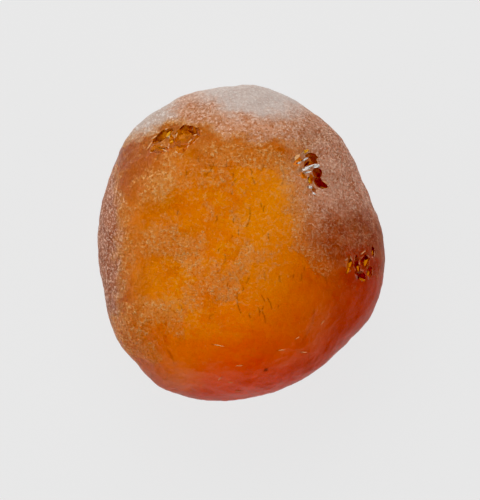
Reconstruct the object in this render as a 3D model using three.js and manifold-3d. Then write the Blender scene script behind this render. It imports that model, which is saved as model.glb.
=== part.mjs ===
// A raw amber nodule: one flattened, sea-worn lump of fossil resin, lying on its broad underside.
// Millimetres, +Z up. The origin is the centre of the footprint, on the flat that the lump rests on.
import * as THREE from "three";
import { ImprovedNoise } from "three/addons/math/ImprovedNoise.js";
import { mergeVertices } from "three/addons/utils/BufferGeometryUtils.js";
import Module from "manifold-3d";

// Driving dimensions of the whole lump, and where its widest section lies.
const WIDTH = 47;
const LENGTH = 52;
const HEIGHT = 24;
const GIRDLE_HEIGHT = 10.6;

// The dome above the girdle and the bowl below it, before wear: height, and how square the profile is.
const CROWN = { height: 14.4, squareness: 2.5 };
const UNDERSIDE = { height: 11.4, squareness: 2.4 };

// The girdle is not level: it rises this far at two opposite bearings and drops as far between them.
const GIRDLE_SWAY = { height: 1.4, bearing: 130 };

// How fine the skin is, and how sharply one worn face turns into the next.
const SKIN_DETAIL = 18;
const EDGE_SHARPNESS = 12;

// The lump's outline from above, anticlockwise from the right-hand bulge.
const OUTLINE = [
  [23.5, -2], [23.4, 2.7], [22, 6.9], [20.6, 10.8], [17.2, 16.7], [12.4, 21], [7.2, 24.8],
  [2, 26.1], [-3.5, 25.3], [-9, 23.7], [-14.4, 21.5], [-18.4, 17.3], [-21, 12], [-22.7, 6],
  [-23.5, 0], [-23.5, -5], [-23.2, -9.6], [-20.7, -15], [-16.9, -20], [-12.8, -24.7],
  [-6.8, -26.4], [0, -26.1], [6.4, -24.1], [13, -20.5], [17.5, -16.4], [21.4, -11.8], [23.1, -6.5],
];

// Broad faces that the sea wore flat: bearing anticlockwise from +X, tilt up from the girdle, both in
// degrees, and distance from the middle of the girdle.
const WORN_FACES = [
  { face: "broad crown", bearing: 215, tilt: 86, distance: 13 },
  { face: "right shoulder", bearing: 24, tilt: 52, distance: 16.6 },
  { face: "left flank", bearing: 186, tilt: 36, distance: 20.8 },
  { face: "far end", bearing: 84, tilt: 44, distance: 20.4 },
  { face: "far left corner", bearing: 134, tilt: 42, distance: 20.8 },
  { face: "near end", bearing: 262, tilt: 42, distance: 20.8 },
  { face: "near right corner", bearing: 318, tilt: 44, distance: 18.8 },
  { face: "lower left flank", bearing: 205, tilt: -52, distance: 16.8 },
  { face: "lower right flank", bearing: 20, tilt: -52, distance: 18.2 },
];

// Broad swells and small lumps left by the resin's flow and by wear: wavelength and height.
const SWELLS = { wavelength: 14, height: 0.7 };
const LUMPS = { wavelength: 5, height: 0.25 };

// Fresh scallops knocked out of the crown as shallow scoops: bearing and tilt as for the worn faces,
// radius of the scoop's own curve, and depth.
const CHIPS = [
  { bearing: 117, tilt: 26, curve: 4.0, depth: 0.6 },
  { bearing: 127, tilt: 20, curve: 3.8, depth: 0.6 },
  { bearing: 49, tilt: 29, curve: 4.0, depth: 0.7 },
  { bearing: 37, tilt: 29, curve: 3.4, depth: 0.6 },
  { bearing: 351, tilt: 20, curve: 4.6, depth: 0.6 },
];

const noise = new ImprovedNoise();
const FULL_TURN = 2 * Math.PI;
const radians = THREE.MathUtils.degToRad;

// The outline as a radius for every bearing, read from one closed curve through its points. The
// curve's two ends are repeated a turn away, so that a bearing always falls between two of them.
function outlineRim() {
  const corners = OUTLINE.map(([x, y]) => new THREE.Vector3(x, y, 0));
  const curve = new THREE.CatmullRomCurve3(corners, true, "centripetal");
  const steps = 360;
  const round = curve
    .getSpacedPoints(steps)
    .map(({ x, y }) => ({ bearing: (Math.atan2(y, x) + FULL_TURN) % FULL_TURN, radius: Math.hypot(x, y) }))
    .sort((a, b) => a.bearing - b.bearing);
  const first = { ...round.at(0), bearing: round.at(0).bearing + FULL_TURN };
  const last = { ...round.at(-1), bearing: round.at(-1).bearing - FULL_TURN };
  return [last, ...round, first];
}

const rim = outlineRim();

function outlineRadius(bearing) {
  const after = rim.findIndex((p) => p.bearing > bearing);
  const a = rim[after - 1];
  const b = rim[after];
  return THREE.MathUtils.mapLinear(bearing, a.bearing, b.bearing, a.radius, b.radius);
}

// The direction of a bearing and tilt, both in degrees.
function aim(bearing, tilt) {
  const level = Math.cos(radians(tilt));
  return new THREE.Vector3(
    level * Math.cos(radians(bearing)),
    level * Math.sin(radians(bearing)),
    Math.sin(radians(tilt)),
  );
}

const wornPlanes = WORN_FACES.map(({ bearing, tilt, distance }) => ({ normal: aim(bearing, tilt), distance }));

// Where the skin lies, seen in one direction from the middle of the girdle.
function skinPoint(direction) {
  const bearing = (Math.atan2(direction.y, direction.x) + FULL_TURN) % FULL_TURN;
  const half = direction.z > 0 ? CROWN : UNDERSIDE;
  const across = Math.hypot(direction.x, direction.y) / outlineRadius(bearing);
  const upright = Math.abs(direction.z) / half.height;
  const unworn = (across ** half.squareness + upright ** half.squareness) ** (-1 / half.squareness);
  let closeness = unworn ** -EDGE_SHARPNESS;
  for (const { normal, distance } of wornPlanes) {
    const facing = direction.dot(normal);
    if (facing > 0) closeness += (facing / distance) ** EDGE_SHARPNESS;
  }
  const worn = closeness ** (-1 / EDGE_SHARPNESS);
  const smooth = direction.clone().multiplyScalar(worn);
  const point = direction.clone().multiplyScalar(worn + relief(smooth, SWELLS) + relief(smooth, LUMPS));
  const nearRim = (across * worn) ** 2;
  point.z += GIRDLE_SWAY.height * nearRim * Math.cos(2 * (bearing - radians(GIRDLE_SWAY.bearing)));
  return point;
}

function relief(at, { wavelength, height }) {
  const offset = 7.3; // keeps the noise's own grid lines off the lump's middle
  const place = at.clone().divideScalar(wavelength).addScalar(offset);
  return height * noise.noise(place.x, place.y, place.z);
}

function skinNormal(bearing, tilt) {
  const step = 2;
  const along = skinPoint(aim(bearing + step, tilt)).sub(skinPoint(aim(bearing - step, tilt)));
  const up = skinPoint(aim(bearing, tilt + step)).sub(skinPoint(aim(bearing, tilt - step)));
  return along.cross(up).normalize();
}

const wasm = await Module();
wasm.setup();

function solidOf(geometry) {
  const bare = geometry.clone();
  bare.deleteAttribute("normal");
  bare.deleteAttribute("uv");
  const merged = mergeVertices(bare, 1e-4);
  return new wasm.Manifold(
    new wasm.Mesh({
      numProp: 3,
      vertProperties: new Float32Array(merged.attributes.position.array),
      triVerts: new Uint32Array(merged.index.array),
    }),
  );
}

function geometryOf(solid) {
  const { vertProperties, triVerts } = solid.getMesh();
  const made = new THREE.BufferGeometry();
  made.setAttribute("position", new THREE.BufferAttribute(vertProperties, 3));
  made.setIndex(new THREE.BufferAttribute(triVerts, 1));
  return made;
}

// The whole lump before chips: a ball of even triangles, each corner moved out to the skin.
function wornLump() {
  const ball = new THREE.IcosahedronGeometry(1, SKIN_DETAIL);
  const place = ball.attributes.position;
  for (let i = 0; i < place.count; i++) {
    const point = skinPoint(new THREE.Vector3().fromBufferAttribute(place, i).normalize());
    place.setXYZ(i, point.x, point.y, point.z);
  }
  return solidOf(ball);
}

// A ball that dips below the skin by the chip's depth.
function chipScoop({ bearing, tilt, curve, depth }) {
  const facets = 4;
  const ball = new THREE.IcosahedronGeometry(curve, facets);
  const middle = skinPoint(aim(bearing, tilt)).addScaledVector(skinNormal(bearing, tilt), curve - depth);
  ball.translate(middle.x, middle.y, middle.z);
  return solidOf(ball);
}

// Everything below the level that the lump rests on.
function groundBlock() {
  const margin = 10;
  const block = new THREE.BoxGeometry(WIDTH + margin, LENGTH + margin, margin);
  block.translate(0, 0, -GIRDLE_HEIGHT - margin / 2);
  return solidOf(block);
}

// Sets the finished lump on the origin at its stated size.
function seated(geometry) {
  geometry.computeBoundingBox();
  const size = geometry.boundingBox.getSize(new THREE.Vector3());
  geometry.scale(WIDTH / size.x, LENGTH / size.y, HEIGHT / size.z);
  geometry.computeBoundingBox();
  const middle = geometry.boundingBox.getCenter(new THREE.Vector3());
  return geometry.translate(-middle.x, -middle.y, -geometry.boundingBox.min.z);
}

const amber = new THREE.MeshStandardMaterial({ color: 0xc8720f, roughness: 0.45, metalness: 0 });

const shaped = CHIPS.reduce((lump, chip) => lump.subtract(chipScoop(chip)), wornLump());
const nodule = new THREE.Mesh(seated(geometryOf(shaped.subtract(groundBlock()))), amber);
nodule.name = "amber_nodule";

const piece = new THREE.Group();
piece.add(nodule);

export default piece;
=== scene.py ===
import math
import random

import bpy
from mathutils import Matrix, Vector
from mathutils.kdtree import KDTree


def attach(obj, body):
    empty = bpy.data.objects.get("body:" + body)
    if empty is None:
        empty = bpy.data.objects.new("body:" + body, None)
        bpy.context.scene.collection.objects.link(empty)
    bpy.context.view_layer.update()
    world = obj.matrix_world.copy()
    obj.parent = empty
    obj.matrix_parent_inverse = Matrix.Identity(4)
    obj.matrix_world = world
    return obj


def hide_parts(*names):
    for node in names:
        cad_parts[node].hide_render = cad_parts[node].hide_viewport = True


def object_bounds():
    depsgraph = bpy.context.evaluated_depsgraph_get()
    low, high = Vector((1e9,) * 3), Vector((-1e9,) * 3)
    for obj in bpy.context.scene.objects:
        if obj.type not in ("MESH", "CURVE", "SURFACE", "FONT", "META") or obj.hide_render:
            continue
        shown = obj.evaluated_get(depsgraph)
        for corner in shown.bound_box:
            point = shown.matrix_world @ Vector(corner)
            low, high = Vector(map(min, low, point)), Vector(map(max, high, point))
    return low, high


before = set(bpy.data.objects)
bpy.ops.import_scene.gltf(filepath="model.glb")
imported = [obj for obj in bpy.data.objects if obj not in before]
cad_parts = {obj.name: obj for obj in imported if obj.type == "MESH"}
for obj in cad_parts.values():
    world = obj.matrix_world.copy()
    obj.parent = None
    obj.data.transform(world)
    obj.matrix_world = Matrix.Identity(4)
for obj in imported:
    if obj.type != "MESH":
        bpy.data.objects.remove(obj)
cad_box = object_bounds()
MM = 0.001


# The nodule's body: one piece of fossil resin that the sea rolled into a flattened lump. The solid's
# shape is made again in a fine even skin, and the swells, dimples and grain that wear left are
# pressed into it. Its underside is worn level where it rests.
def deselect():
    bpy.ops.object.select_all(action="DESELECT")


def pick(piece):
    deselect()
    piece.select_set(True)
    bpy.context.view_layer.objects.active = piece


def finish_with(piece, kind, **settings):
    pick(piece)
    modifier = piece.modifiers.new(kind.title(), kind)
    for name, value in settings.items():
        setattr(modifier, name, value)
    bpy.ops.object.modifier_apply(modifier=modifier.name)


COARSE_CELL = 0.6 * MM
SKIN_CELL = 0.28 * MM
WORN_LEVEL = 0.03 * MM

nodule = bpy.data.objects.new("nodule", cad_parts["amber_nodule"].data.copy())
bpy.context.scene.collection.objects.link(nodule)
pick(nodule)
bpy.ops.object.mode_set(mode="EDIT")
bpy.ops.mesh.select_all(action="SELECT")
bpy.ops.mesh.remove_doubles(threshold=0.001 * MM)
bpy.ops.object.mode_set(mode="OBJECT")
finish_with(nodule, "REMESH", mode="VOXEL", voxel_size=COARSE_CELL)
finish_with(nodule, "SMOOTH", factor=0.5, iterations=10)
finish_with(nodule, "REMESH", mode="VOXEL", voxel_size=SKIN_CELL)
finish_with(nodule, "SMOOTH", factor=0.5, iterations=4)

for wear, size, depth, layers in (
    ("swells", 6.5 * MM, 0.8 * MM, 1),
    ("dimples", 2.3 * MM, 0.3 * MM, 2),
    ("grain", 0.85 * MM, 0.1 * MM, 1),
):
    hollows = bpy.data.textures.new(wear, "CLOUDS")
    hollows.noise_scale = size
    hollows.noise_depth = layers
    finish_with(
        nodule, "DISPLACE", texture=hollows, texture_coords="LOCAL", strength=depth, mid_level=0.5
    )

deselect()
bpy.ops.mesh.primitive_cube_add(size=2 * cad_box[1][2], location=(0, 0, WORN_LEVEL - cad_box[1][2]))
beach = bpy.context.object
beach.scale = (2, 2, 1)
bpy.ops.object.transform_apply()
finish_with(nodule, "BOOLEAN", operation="DIFFERENCE", object=beach, solver="MANIFOLD")
bpy.data.objects.remove(beach)


# The fresh chips: three places where knocks have split splinters off the crown, deep enough to show
# clear resin. Each is a nest of small ragged breaks with sharp rims, cut one after another, and the
# resin is bruised pale along the rims.
BREAK_MARK = "fresh_break"
DARK_MARK = "break_darkness"
RIM_MARK = "bruised_rim"
RIM_REACH = 0.9 * MM
HIGH_ABOVE = 100 * MM
SHARP_ANGLE = math.radians(30)

CHIPS = (
    # Each chip has its name, how finely its breaks are splintered, and the breaks. Each break: where
    # it lies across the crown, radii, depth below the skin (all in millimetres), turn in degrees, how
    # ragged it is, and how dark the resin shows in it.
    ("far_left", 2, (
        ((-8.3, 17.0), (2.7, 2.4, 1.6), 0.7, 8, 0.2, 0.45),
        ((-9.4, 15.2), (1.5, 1.5, 1.1), 0.4, 40, 0.25, 0.3),
        ((-12.6, 17.3), (2.2, 1.0, 1.0), 0.55, 24, 0.2, 0.6),
        ((-13.2, 15.0), (2.0, 1.1, 1.0), 0.45, -24, 0.2, 0.45),
        ((-11.0, 16.4), (0.8, 1.7, 0.9), 0.4, 10, 0.2, 0.1),
    )),
    ("far_right", 1, (
        ((11.4, 13.7), (1.5, 1.3, 1.0), 0.6, 50, 0.25, 0.85),
        ((9.2, 13.3), (1.7, 0.9, 0.9), 0.4, 32, 0.25, 0.0),
        ((10.8, 12.6), (1.2, 0.8, 0.9), 0.6, 18, 0.25, 0.35),
        ((12.3, 11.3), (1.1, 1.1, 1.0), 0.7, -10, 0.25, 1.0),
        ((10.1, 10.7), (1.6, 0.9, 0.9), 0.35, 8, 0.2, 0.2),
        ((12.6, 9.7), (1.7, 0.9, 1.0), 0.65, -32, 0.25, 1.0),
        ((11.2, 10.2), (0.7, 1.3, 0.8), 0.5, -14, 0.25, 0.3),
        ((11.7, 8.6), (0.8, 0.8, 0.8), 0.4, 0, 0.25, 0.8),
    )),
    ("right_end", 1, (
        ((17.5, -3.2), (1.0, 1.8, 0.9), 0.45, -8, 0.25, 0.75),
        ((18.7, -3.5), (0.8, 1.9, 1.0), 0.6, 6, 0.25, 1.0),
        ((20.1, -2.9), (1.2, 1.6, 1.0), 0.55, -12, 0.25, 0.85),
        ((19.2, -5.2), (1.7, 1.0, 0.9), 0.55, -28, 0.25, 1.0),
        ((20.8, -4.7), (0.9, 1.3, 0.8), 0.5, 14, 0.25, 0.8),
        ((21.4, -1.3), (0.5, 1.2, 0.7), 0.45, 0, 0.2, 1.0),
    )),
)


def skin_at(x, y):
    bpy.context.view_layer.update()
    _, point, outward, _ = nodule.ray_cast(Vector((x * MM, y * MM, HIGH_ABOVE)), Vector((0, 0, -1)))
    return point, outward


def lay_on(point, outward, turn=0.0):
    across = (Vector((1, 0, 0)) - outward * outward.x).normalized()
    facing = Matrix((across, outward.cross(across), outward)).transposed().to_4x4()
    return Matrix.Translation(point) @ facing @ Matrix.Rotation(math.radians(turn), 4, "Z")


def mark_faces(piece, name, value):
    mark = piece.data.attributes.new(name, "FLOAT", "FACE")
    mark.data.foreach_set("value", [value] * len(piece.data.polygons))


def mark_rims(piece):
    cut = piece.data.attributes[BREAK_MARK].data
    touches = {}
    for face in piece.data.polygons:
        for corner in face.vertices:
            touches.setdefault(corner, set()).add(cut[face.index].value > 0.5)
    rims = [corner for corner, kinds in touches.items() if len(kinds) == 2]
    tree = KDTree(len(rims))
    for corner in rims:
        tree.insert(piece.data.vertices[corner].co, corner)
    tree.balance()
    closeness = [max(0, 1 - tree.find(v.co)[2] / RIM_REACH) for v in piece.data.vertices]
    piece.data.attributes.new(RIM_MARK, "FLOAT", "POINT").data.foreach_set("value", closeness)


mark_faces(nodule, BREAK_MARK, 0.0)
mark_faces(nodule, DARK_MARK, 0.0)
for _, fineness, breaks in CHIPS:
    for order, (where, radii, depth, turn, raggedness, darkness) in enumerate(breaks):
        deselect()
        bpy.ops.mesh.primitive_ico_sphere_add(subdivisions=fineness, radius=1)
        splinter = bpy.context.object
        bpy.ops.object.mode_set(mode="EDIT")
        bpy.ops.mesh.subdivide(number_cuts=1)
        bpy.ops.transform.vertex_random(offset=raggedness, seed=order)
        bpy.ops.object.mode_set(mode="OBJECT")
        point, outward = skin_at(*where)
        middle = point + outward * (radii[2] - depth) * MM
        size = Matrix.Diagonal([*(r * MM for r in radii), 1])
        splinter.data.transform(lay_on(middle, outward, turn) @ size)
        mark_faces(splinter, BREAK_MARK, 1.0)
        mark_faces(splinter, DARK_MARK, darkness)
        finish_with(nodule, "BOOLEAN", operation="DIFFERENCE", object=splinter, solver="MANIFOLD")
        bpy.data.objects.remove(splinter)
mark_rims(nodule)
nodule.data.materials.clear()
pick(nodule)
bpy.ops.object.shade_smooth_by_angle(angle=SHARP_ANGLE)


# The resin and its skin: see-through, golden by absorption, redder where it is thicker, and painted
# deep red along the near and right edges as painted shade. The skin is frosted by the sea, crusted
# pale along the far side, and brown on the right shoulder.
RESIN_IOR = 1.54
SHEEN_TINT = (1.0, 0.5, 0.1)
GOLDEN = (0.997, 0.80, 0.02)
GOLDEN_DENSITY = 230

resin = bpy.data.materials.new("resin")
resin.use_nodes = True
nodes = resin.node_tree.nodes
links = resin.node_tree.links
surface = nodes["Principled BSDF"]
surface.inputs["IOR"].default_value = RESIN_IOR
surface.inputs["Specular Tint"].default_value = (*SHEEN_TINT, 1)
golden = nodes.new("ShaderNodeVolumeAbsorption")
golden.inputs["Color"].default_value = (*GOLDEN, 1)
golden.inputs["Density"].default_value = GOLDEN_DENSITY
links.new(golden.outputs["Volume"], nodes["Material Output"].inputs["Volume"])


def plug(socket, value):
    if isinstance(value, bpy.types.NodeSocket):
        links.new(value, socket)
    elif isinstance(value, tuple) and socket.type == "RGBA":
        socket.default_value = (*value, 1)
    else:
        socket.default_value = value


def node(kind, sockets, **settings):
    made = nodes.new(kind)
    for name, value in settings.items():
        setattr(made, name, value)
    for name, value in sockets.items():
        plug(made.inputs[name], value)
    return made


place = node("ShaderNodeTexCoord", {}).outputs["Object"]


def noise(size, detail, rough, at=None):
    sockets = {"Vector": at or place, "Scale": 1 / size, "Detail": detail, "Roughness": rough}
    return node("ShaderNodeTexNoise", sockets).outputs


def ramp(value, low, high):
    sockets = {"Value": value, "From Min": low, "From Max": high}
    return node("ShaderNodeMapRange", sockets, interpolation_type="SMOOTHSTEP").outputs["Result"]


def maths(kind, *values):
    return node("ShaderNodeMath", dict(enumerate(values)), operation=kind).outputs["Value"]


# In the Mix node socket 0 is the amount, 2 and 3 take plain values, and 6 and 7 take colours.
def tint(amount, under, over):
    made = node("ShaderNodeMix", {0: amount, 6: under, 7: over}, data_type="RGBA")
    return made.outputs[2]


def level(amount, under, over):
    made = node("ShaderNodeMix", {0: amount, 2: under, 3: over}, data_type="FLOAT")
    return made.outputs[0]


# A place pushed about by noise, so that no patch has an even border.
STRAY = 6 * MM
wander = noise(3.2 * MM, detail=4, rough=0.62)["Color"]
offset = node("ShaderNodeVectorMath", {0: wander, 1: (0.5, 0.5, 0.5)}, operation="SUBTRACT")
ragged = node(
    "ShaderNodeVectorMath",
    {0: offset.outputs[0], 1: (STRAY, STRAY, STRAY), 2: place},
    operation="MULTIPLY_ADD",
).outputs[0]


# An oval patch of skin, seen from above: its middle and half sizes in millimetres, its turn in
# degrees, and how softly it ends.
def patch(x, y, wide, long, soft, turn=0):
    at = node(
        "ShaderNodeMapping",
        {
            "Vector": ragged,
            "Location": (x * MM, y * MM, 0),
            "Rotation": (0, 0, math.radians(turn)),
            "Scale": (wide * MM, long * MM, 1),
        },
        vector_type="TEXTURE",
    ).outputs["Vector"]
    away = node("ShaderNodeVectorMath", {0: at}, operation="LENGTH").outputs["Value"]
    return ramp(away, 1 + soft, 1 - soft)


far_crust = patch(1.8, 24.8, 9.3, 4.5, turn=-6, soft=0.4)
left_crust = patch(-14.5, 21.5, 6, 2.8, turn=38, soft=0.45)
crust = maths("MAXIMUM", far_crust, left_crust)
far_brow = patch(-3, 23.0, 20, 5.3, turn=-13, soft=0.2)
shoulder = patch(20.5, 9.5, 12, 13.5, turn=20, soft=0.3)
shoulder_bloom = patch(14.0, 10.2, 3.0, 5.2, turn=12, soft=0.6)
shoulder_foot = patch(20, -0.2, 8.8, 4.8, turn=-9, soft=0.35)
left_flank = patch(-25.8, 1, 6.5, 21, turn=2, soft=0.2)
left_foot = patch(-17.4, -15.2, 5.0, 2.4, turn=-48, soft=0.4)
left_warmth = patch(-20, 0, 6, 21, turn=2, soft=0.5)
corner_warmth = patch(-17, 13, 4.5, 5.5, turn=-30, soft=0.5)
far_warmth = patch(-3, 18, 17, 5.5, turn=-10, soft=0.5)
worn_left = patch(-10, 1, 13, 16, soft=0.35)
near_left = patch(-14.8, -17.5, 7.5, 5.5, turn=-40, soft=0.5)
# The near and right bands: clearer skin, and resin painted deep red there as painted shade.
near_band = patch(4, -34, 40, 20.0, turn=9, soft=0.38)
right_band = patch(32, -15, 25, 22, turn=-20, soft=0.4)
right_hollow = patch(19.4, -3.9, 3.4, 3.0, turn=-20, soft=0.3)
window = patch(5, 1, 4.5, 14, turn=3, soft=0.6)
clean = maths("MAXIMUM", near_band, right_band)
FELTED = (
    patch(-12.8, 9.5, 2.6, 4.2, turn=-20, soft=0.4),
    patch(-11.0, -0.2, 6.0, 2.6, turn=4, soft=0.4),
    patch(-13.2, -12.8, 6.0, 2.8, turn=-10, soft=0.4),
    patch(2.0, 13.6, 8.5, 1.7, turn=-8, soft=0.4),
    patch(11.0, 1.5, 2.6, 7.0, turn=18, soft=0.5),
    patch(-1.5, -4.5, 2.4, 5.0, turn=-25, soft=0.5),
)
POLISHED = (
    patch(-9.2, 5.6, 2.6, 3.0, turn=10, soft=0.4),
    patch(-12.5, -6.0, 3.6, 3.2, soft=0.4),
    patch(-3.0, 0.5, 2.4, 5.0, turn=8, soft=0.4),
    patch(-12.0, -17.6, 5.0, 2.6, turn=-30, soft=0.4),
)

# The haze of the frosted skin: clouds of it, closed up where the skin is crusted or felted, and worn
# through where it was polished. Each pair: patches, and how much more or less hazy they are than the
# plain clouds.
cover = level(worn_left, -0.11, -0.02)
for patches, amount in (
    ([window], -0.12),
    (FELTED, 0.14),
    (POLISHED, -0.16),
    ([near_band], -0.35),
    ([far_brow, shoulder, left_flank, left_foot, crust], 0.4),
):
    for part in patches:
        cover = level(part, cover, amount)
cloud = noise(4.2 * MM, detail=5, rough=0.62)["Fac"]
haze = ramp(maths("ADD", cloud, cover), 0.43, 0.60)

# The frost's grain: pale specks and short curls, partly the frost's own pale grain and partly painted
# glints of light off it, with small dark pits between them.
speckle = noise(0.42 * MM, detail=2, rough=0.75)["Fac"]


def curls(size, width):
    winding = noise(size, detail=3, rough=0.6)["Fac"]
    return ramp(maths("ABSOLUTE", maths("SUBTRACT", winding, 0.5)), width, 0.3 * width)


squiggle = maths("MAXIMUM", curls(1.4 * MM, 0.03), curls(0.9 * MM, 0.022))
squiggle = maths("MULTIPLY", squiggle, ramp(speckle, 0.42, 0.54))
marks = maths("MAXIMUM", ramp(speckle, 0.58, 0.66), squiggle)
marks = maths("MULTIPLY", marks, maths("MULTIPLY_ADD", haze, 0.72, level(clean, 0.28, 0.03)))
pitted = maths("MULTIPLY_ADD", haze, 0.35, level(clean, 0.35, 0.2))
pits = maths("MULTIPLY", ramp(speckle, 0.44, 0.34), pitted)
pits = maths("MULTIPLY", pits, level(crust, 1.0, 0.3))

# The tints, one over the other: clear resin first, then the skin's patches, then the grain.
drift = ramp(noise(6.0 * MM, detail=3, rough=0.55, at=ragged)["Fac"], 0.38, 0.62)
blotch = ramp(noise(2.1 * MM, detail=4, rough=0.62, at=ragged)["Fac"], 0.46, 0.58)
mottle = ramp(noise(1.9 * MM, detail=3, rough=0.6)["Fac"], 0.36, 0.62)


def mottled(dark, light):
    return tint(mottle, dark, light)


colour = tint(drift, (1.0, 0.70, 0.36), (1.0, 0.93, 0.46))
for amount, over in (
    (maths("MULTIPLY", blotch, 0.8), (0.91, 0.52, 0.18)),
    (maths("MULTIPLY", window, 0.7), (1.0, 0.88, 0.42)),
    (left_warmth, (0.84, 0.47, 0.16)),
    (far_warmth, (0.68, 0.36, 0.11)),
    (corner_warmth, (0.70, 0.28, 0.09)),
    (maths("MULTIPLY", haze, 0.4), (0.98, 0.56, 0.12)),
    # Painted shade: deep red over the near and right bands.
    (near_band, (0.71, 0.085, 0.001)),
    (near_left, (1.0, 0.46, 0.04)),
    (right_band, (0.49, 0.072, 0.002)),
    (left_flank, mottled((0.32, 0.085, 0.036), (0.50, 0.19, 0.10))),
    (far_brow, mottled((0.60, 0.27, 0.13), (0.75, 0.43, 0.27))),
    (shoulder, mottled((0.50, 0.19, 0.09), (0.72, 0.39, 0.26))),
    (maths("MULTIPLY", shoulder_bloom, 0.7), (0.80, 0.52, 0.39)),
    (shoulder_foot, mottled((0.29, 0.042, 0.011), (0.46, 0.12, 0.04))),
    (right_hollow, (0.40, 0.035, 0.004)),
    (left_crust, (0.55, 0.45, 0.39)),
    (far_crust, (0.66, 0.57, 0.52)),
):
    colour = tint(amount, colour, over)
skinned = maths("MAXIMUM", maths("MAXIMUM", shoulder, left_flank), far_brow)
mark_colour = tint(skinned, (0.94, 0.50, 0.19), (0.90, 0.58, 0.43))
mark_colour = tint(shoulder_foot, mark_colour, (0.62, 0.26, 0.13))
mark_colour = tint(crust, mark_colour, (0.80, 0.72, 0.67))
# The pale marks are partly painted glints, laid over the frost's own pale grain.
colour = tint(marks, colour, mark_colour)
colour = tint(pits, colour, (0.40, 0.10, 0.015))

# How much light the skin lets through, and how dull it is.
clearness = level(haze, 1.0, 0.86)
for part, share in (
    (maths("MAXIMUM", shoulder, left_flank), 0.5),
    (far_brow, 0.45),
    (right_hollow, 1.0),
    (crust, 0.22),
):
    clearness = level(part, clearness, share)
clearness = maths("MULTIPLY", clearness, level(marks, 1.0, 0.15))
dullness = level(haze, level(clean, 0.34, 0.45), 0.55)

# The breaks are clean and shiny, and their rims are bruised in broken pale fringes.
fresh = node("ShaderNodeAttribute", {}, attribute_name=BREAK_MARK).outputs["Fac"]
darkness = node("ShaderNodeAttribute", {}, attribute_name=DARK_MARK).outputs["Fac"]
rim = node("ShaderNodeAttribute", {}, attribute_name=RIM_MARK).outputs["Fac"]
fray = noise(0.7 * MM, detail=3, rough=0.7)["Fac"]
bruise = ramp(maths("MULTIPLY_ADD", fray, 1.6, maths("MULTIPLY_ADD", rim, 0.8, -0.8)), 0.80, 0.95)
bruise = maths("MULTIPLY", bruise, ramp(rim, 0.0, 0.3))
colour = tint(fresh, colour, tint(darkness, (0.90, 0.50, 0.12), (0.15, 0.02, 0.006)))
colour = tint(bruise, colour, tint(darkness, (0.95, 0.66, 0.40), (0.72, 0.34, 0.18)))
clearness = level(bruise, level(fresh, clearness, 1.0), 0.3)
dullness = level(bruise, level(fresh, dullness, 0.04), 0.3)
plug(surface.inputs["Base Color"], colour)
plug(surface.inputs["Transmission Weight"], clearness)
plug(surface.inputs["Roughness"], dullness)

GRAIN_DEPTH = 0.08 * MM
relief = maths("MULTIPLY", maths("ADD", speckle, squiggle), level(haze, 0.4, 1.0))
relief = maths("MULTIPLY", relief, level(fresh, 1.0, 0.0))
bump = node("ShaderNodeBump", {"Height": relief, "Strength": 0.6, "Distance": GRAIN_DEPTH})
plug(surface.inputs["Normal"], bump.outputs["Normal"])

nodule.data.materials.append(resin)
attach(nodule, "root")
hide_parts("amber_nodule")


# Plant hairs: short dark hairs that the fresh resin caught as it ran down the bark. They lie just
# under the skin, mostly along the flow, and a few long ones can be picked out one by one.
HAIR_THICKNESS = 0.085 * MM

LONG_HAIRS = (
    # from, to, how far it bows aside, how deep it lies, in millimetres
    ((12.0, -10.6), (9.9, -15.9), 0.5, 0.5),
    ((4.2, -8.7), (5.0, -10.6), 0.15, 0.5),
    ((-1.9, -8.3), (-2.5, -9.5), 0.1, 0.4),
    ((3.5, -11.0), (4.0, -12.8), 0.1, 0.6),
    ((-11.9, -17.2), (-10.7, -20.1), 0.3, 0.4),
    ((-0.4, -7.7), (0.1, -11.3), -0.4, 0.8),
    ((6.9, 12.0), (6.5, 9.2), 0.3, 0.5),
    ((1.4, 5.6), (0.9, 2.6), 0.3, 0.6),
    ((-4.3, 12.8), (-5.6, 10.8), 0.2, 0.4),
)
SHORT_HAIRS = 55
BARK_BROWN = (0.075, 0.014, 0.008)


def under_skin(x, y, deep):
    point, outward = skin_at(x, y)
    return point - outward * deep * MM


def hair(start, end, bow, deep):
    run = Vector(end) - Vector(start)
    aside = Vector((-run.y, run.x)).normalized() * bow
    bpy.ops.curve.primitive_bezier_curve_add()
    strand = bpy.context.object
    strand.data.bevel_depth = HAIR_THICKNESS / 2
    strand.data.bevel_resolution = 0
    strand.data.resolution_u = 5
    strand.data.use_fill_caps = True
    for knot, along in zip(strand.data.splines[0].bezier_points, (0, 1)):
        here = Vector(start) + run * along
        bent = Vector(start) + run * (1 / 3 + along / 3) + aside * 4 / 3
        knot.handle_left_type = knot.handle_right_type = "FREE"
        knot.co = under_skin(*here, deep)
        knot.handle_left = knot.handle_right = under_skin(*bent, deep)
    bpy.ops.object.convert(target="MESH")
    return bpy.context.object


def join(pieces, name):
    deselect()
    for piece in pieces:
        piece.select_set(True)
    bpy.context.view_layer.objects.active = pieces[0]
    bpy.ops.object.join()
    pieces[0].name = name
    return pieces[0]


deselect()
chance = random.Random(11)
hairs = [hair(*route) for route in LONG_HAIRS]
for _ in range(SHORT_HAIRS):
    x = chance.gauss(0, 5.5)
    y = chance.uniform(-12, 16)
    length = chance.uniform(0.4, 1.5)
    lean = chance.gauss(0, 0.35)
    end = (x + length * math.sin(lean), y - length * math.cos(lean))
    hairs.append(hair((x, y), end, chance.gauss(0, 0.12), chance.uniform(0.25, 0.9)))
plant_hairs = join(hairs, "plant_hairs")

bark = bpy.data.materials.new("bark_brown")
bark.use_nodes = True
bark_surface = bark.node_tree.nodes["Principled BSDF"]
bark_surface.inputs["Base Color"].default_value = (*BARK_BROWN, 1)
bark_surface.inputs["Roughness"].default_value = 0.7
plant_hairs.data.materials.clear()
plant_hairs.data.materials.append(bark)
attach(plant_hairs, "root")
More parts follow.
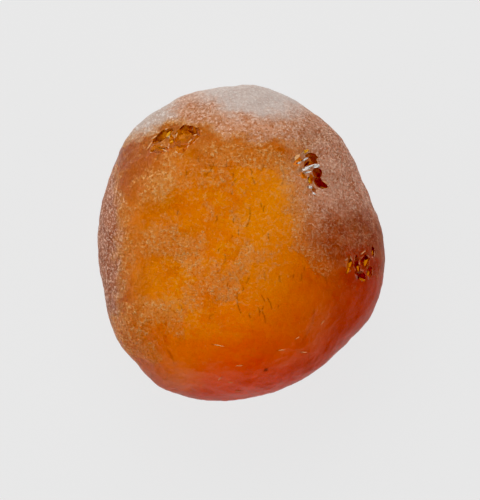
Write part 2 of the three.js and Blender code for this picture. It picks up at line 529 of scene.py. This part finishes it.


# Flashes at the breaks: thin curled splinters and cracks that the knocks raised. A few lie in the
# resin, the rest are caught in the skin, and they mirror the far light in gold, ember or white. The
# nicks are small pale curls set in the skin and at the breaks.
FILM_THICKNESS = 0.04 * MM

# How far a sliver stands proud, in a break and on unbroken skin, in millimetres.
LIFT = 0.05
SKIN_LIFT = 0.04

GOLD_FILMS = (
    # where, how long and wide, turn in degrees, and how deep it lies or how far it lifts, in
    # millimetres
    ((-11.5, 17.3), (0.35, 0.75), -15, -LIFT),
    ((-11.0, 16.3), (0.5, 0.12), 35, -LIFT),
    ((-12.8, 15.3), (0.9, 0.12), -25, 0.3),
    ((10.3, 14.7), (0.7, 0.25), 30, -LIFT),
    ((10.6, 12.8), (0.5, 0.25), 40, 0.2),
    ((10.9, 10.2), (0.25, 0.7), 10, -LIFT),
    ((4.1, -20.5), (0.35, 0.25), 10, 0.4),
)
EMBER_FILMS = (
    ((17.5, -3.2), (0.3, 0.8), -8, -LIFT),
    ((17.1, -4.4), (0.2, 0.6), -25, -LIFT),
    ((18.8, -3.8), (0.16, 0.8), 8, -LIFT),
    ((20.2, -2.8), (0.28, 1.0), -14, -LIFT),
    ((20.4, -4.8), (0.3, 0.5), 10, -LIFT),
    ((19.2, -5.8), (1.0, 0.2), -24, -LIFT),
    ((21.3, -1.4), (0.12, 0.7), -5, -LIFT),
)
WHITE_FILMS = (
    ((10.4, 12.1), (1.6, 0.16), 20, -LIFT),
    ((10.0, 11.7), (1.3, 0.18), 17, -LIFT),
    ((10.5, 11.3), (0.9, 0.13), 12, -LIFT),
    ((12.0, 12.4), (0.75, 0.36), 8, -LIFT),
    ((9.2, 12.8), (0.5, 0.18), 20, -LIFT),
    ((10.2, 13.4), (0.8, 0.14), 30, -LIFT),
    ((11.0, 8.95), (0.5, 0.25), -10, -LIFT),
    ((11.6, 8.0), (0.5, 0.14), -40, -LIFT),
)
NICKS = (
    ((8.7, 13.6), (1.0, 0.35), 38, -LIFT),
    ((13.4, 9.9), (0.7, 0.08), -35, -LIFT),
    ((-10.3, 17.4), (0.5, 0.1), 75, -LIFT),
    ((-14.6, 15.7), (0.9, 0.09), 60, -LIFT),
    ((-3.2, -21.6), (0.7, 0.07), 50, -SKIN_LIFT),
    ((9.0, -15.2), (0.5, 0.07), 30, -SKIN_LIFT),
    ((13.2, -12.6), (0.6, 0.07), 60, -SKIN_LIFT),
    ((-8.0, 16.4), (0.75, 0.1), 50, -LIFT),
    ((-7.2, 17.3), (0.35, 0.12), 10, -LIFT),
    ((-13.9, 17.0), (0.6, 0.1), 35, -LIFT),
    ((-11.9, 14.7), (0.7, 0.1), -30, -LIFT),
    ((-3.6, -16.3), (1.1, 0.06), -14, -SKIN_LIFT),
    ((6.2, -17.1), (0.9, 0.06), 3, -SKIN_LIFT),
    ((9.8, -17.5), (0.9, 0.08), -6, -SKIN_LIFT),
    ((-0.2, -19.6), (0.6, 0.06), 4, -SKIN_LIFT),
    ((-1.6, -22.4), (0.4, 0.08), 0, -SKIN_LIFT),
    ((-0.3, -23.9), (0.6, 0.08), 8, -SKIN_LIFT),
    ((19.6, -1.6), (0.7, 0.08), 40, -LIFT),
)
UP = Vector((0, 0, 1))
FAR_LIGHT = (-0.1, 0.55, 0.42)
TO_FAR_LIGHT = Vector(FAR_LIGHT).normalized()


# The way that light from a direction runs on once it has passed the skin.
def bent_into_resin(toward, outward):
    straight = toward.dot(outward)
    inside = math.sqrt(1 - (1 - straight ** 2) / RESIN_IOR ** 2)
    return toward / RESIN_IOR + outward * (inside - straight / RESIN_IOR)


# A film turned halfway between straight up and the far light, so that it throws that light upward.
def curled_film(where, spread, turn, deep, order):
    deselect()
    bpy.ops.mesh.primitive_circle_add(vertices=11, radius=1, fill_type="TRIFAN")
    film = bpy.context.object
    bpy.ops.object.mode_set(mode="EDIT")
    bpy.ops.mesh.subdivide(number_cuts=1)
    bpy.ops.transform.vertex_random(offset=0.14, seed=order)
    bpy.ops.object.mode_set(mode="OBJECT")
    point, outward = skin_at(*where)
    facing = UP + TO_FAR_LIGHT
    if deep > 0:
        facing = bent_into_resin(UP, outward) + bent_into_resin(TO_FAR_LIGHT, outward)
    size = Matrix.Diagonal([spread[0] * MM, spread[1] * MM, min(spread) * MM, 1])
    film.data.transform(lay_on(point - outward * deep * MM, facing.normalized(), turn) @ size)
    finish_with(film, "SOLIDIFY", thickness=FILM_THICKNESS, offset=0)
    return film


def sliver_finish(name, tone, roughness, metallic=1):
    made = bpy.data.materials.new(name)
    made.use_nodes = True
    made_surface = made.node_tree.nodes["Principled BSDF"]
    made_surface.inputs["Base Color"].default_value = (*tone, 1)
    made_surface.inputs["Metallic"].default_value = metallic
    made_surface.inputs["Roughness"].default_value = roughness
    return made


for films_name, films, finish in (
    ("gold_flashes", GOLD_FILMS, sliver_finish("gold_flash", (0.34, 0.15, 0.01), 0.35)),
    ("ember_flashes", EMBER_FILMS, sliver_finish("ember_flash", (0.36, 0.11, 0.006), 0.45)),
    ("white_flashes", WHITE_FILMS, sliver_finish("white_flash", (0.33, 0.315, 0.30), 0.35)),
    ("pale_nicks", NICKS, sliver_finish("pale_nick", (0.84, 0.43, 0.15), 0.5, metallic=0)),
):
    flashes = join([curled_film(*film, order) for order, film in enumerate(films)], films_name)
    flashes.data.materials.append(finish)
    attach(flashes, "root")


# The place it is seen in: a pale table that glows, a soft bright room to the far left and a dim one
# to the near right, and broad lamps. The camera looks straight down on the crown.
TABLE_SIZE = 3
TABLE_GAP = 0.05 * MM
TABLE_GREY = (0.08, 0.08, 0.08)
TABLE_GLOW = 0.764

deselect()
bpy.ops.mesh.primitive_plane_add(size=TABLE_SIZE, location=(0, 0, -TABLE_GAP))
table = bpy.context.object
table.name = "table"
paper = bpy.data.materials.new("paper")
paper.use_nodes = True
paper_surface = paper.node_tree.nodes["Principled BSDF"]
paper_surface.inputs["Base Color"].default_value = (*TABLE_GREY, 1)
paper_surface.inputs["Roughness"].default_value = 1
paper_surface.inputs["Specular IOR Level"].default_value = 0
paper_surface.inputs["Emission Color"].default_value = (1, 1, 1, 1)
paper_surface.inputs["Emission Strength"].default_value = TABLE_GLOW
table.data.materials.append(paper)

room = bpy.data.worlds.new("room")
bpy.context.scene.world = room
room.use_nodes = True
sky = room.node_tree
toward = sky.nodes.new("ShaderNodeTexCoord").outputs["Generated"]


def sky_share(direction, low, high, at_low, at_high):
    lean = sky.nodes.new("ShaderNodeVectorMath")
    lean.operation = "DOT_PRODUCT"
    lean.inputs[1].default_value = direction
    sky.links.new(toward, lean.inputs[0])
    share = sky.nodes.new("ShaderNodeMapRange")
    for name, value in zip(("From Min", "From Max", "To Min", "To Max"), (low, high, at_low, at_high)):
        share.inputs[name].default_value = value
    sky.links.new(lean.outputs["Value"], share.inputs["Value"])
    return share.outputs["Result"]


def sky_mix(kind, a, b):
    made = sky.nodes.new("ShaderNodeMath")
    made.operation = kind
    for socket, value in zip(made.inputs, (a, b)):
        if isinstance(value, bpy.types.NodeSocket):
            sky.links.new(value, socket)
        else:
            socket.default_value = value
    return made.outputs["Value"]


UPWARD = (0, 0, 1)
FAR_LEFT = (-0.45, 0.89, 0)
SKYLINE = (0.05, 0.12)
walls = sky_mix(
    "MULTIPLY",
    sky_share(UPWARD, 0.1, 0.75, 1.0, 0.04),
    sky_share(FAR_LEFT, -0.6, 0.8, 0.06, 1.0),
)
walls = sky_mix("MULTIPLY", walls, sky_share(UPWARD, *SKYLINE, 0.0, 1.0))
horizon = sky_share(UPWARD, *SKYLINE, 0.78, 0.0)
sky.links.new(sky_mix("ADD", walls, horizon), sky.nodes["Background"].inputs["Strength"])
sky.nodes["Background"].inputs["Color"].default_value = (1, 1, 1, 1)

LAMP_WIDTH = 0.7
LAMP_HEIGHT = 0.4
for lamp_name, where, power in (
    ("far_lamp", FAR_LIGHT, 2.4),
    ("left_lamp", (-0.55, 0.05, 0.36), 1.2),
    ("right_lamp", (0.55, -0.1, 0.4), 0.6),
):
    deselect()
    bpy.ops.object.light_add(type="AREA", location=where)
    lamp = bpy.context.object
    lamp.name = lamp_name
    lamp.data.shape = "RECTANGLE"
    lamp.data.size = LAMP_WIDTH
    lamp.data.size_y = LAMP_HEIGHT
    lamp.data.energy = power
    lamp.rotation_euler = (-lamp.location).to_track_quat("-Z", "Y").to_euler()

VIEW_HEIGHT = 81.8 * MM
VIEW_MIDDLE = (-0.1 * MM, -1.1 * MM)
GIRDLE_SHARE = 0.44
NEAREST_SEEN = 10 * MM
LENS = 200

# Tones as deep as this turn black, which makes the reds a little fuller.
DEEPEST_TONE = (0.011, 0.011, 0.008)

girdle = GIRDLE_SHARE * cad_box[1][2]
camera = bpy.data.objects.new("camera", bpy.data.cameras.new("camera"))
bpy.context.scene.collection.objects.link(camera)
bpy.context.scene.camera = camera
camera.data.lens = LENS
camera.data.clip_start = NEAREST_SEEN
camera.location = (*VIEW_MIDDLE, girdle + VIEW_HEIGHT * LENS / camera.data.sensor_width)
look = bpy.context.scene.view_settings
look.view_transform = "Standard"
look.use_curve_mapping = True
look.curve_mapping.black_level = DEEPEST_TONE
look.curve_mapping.update()
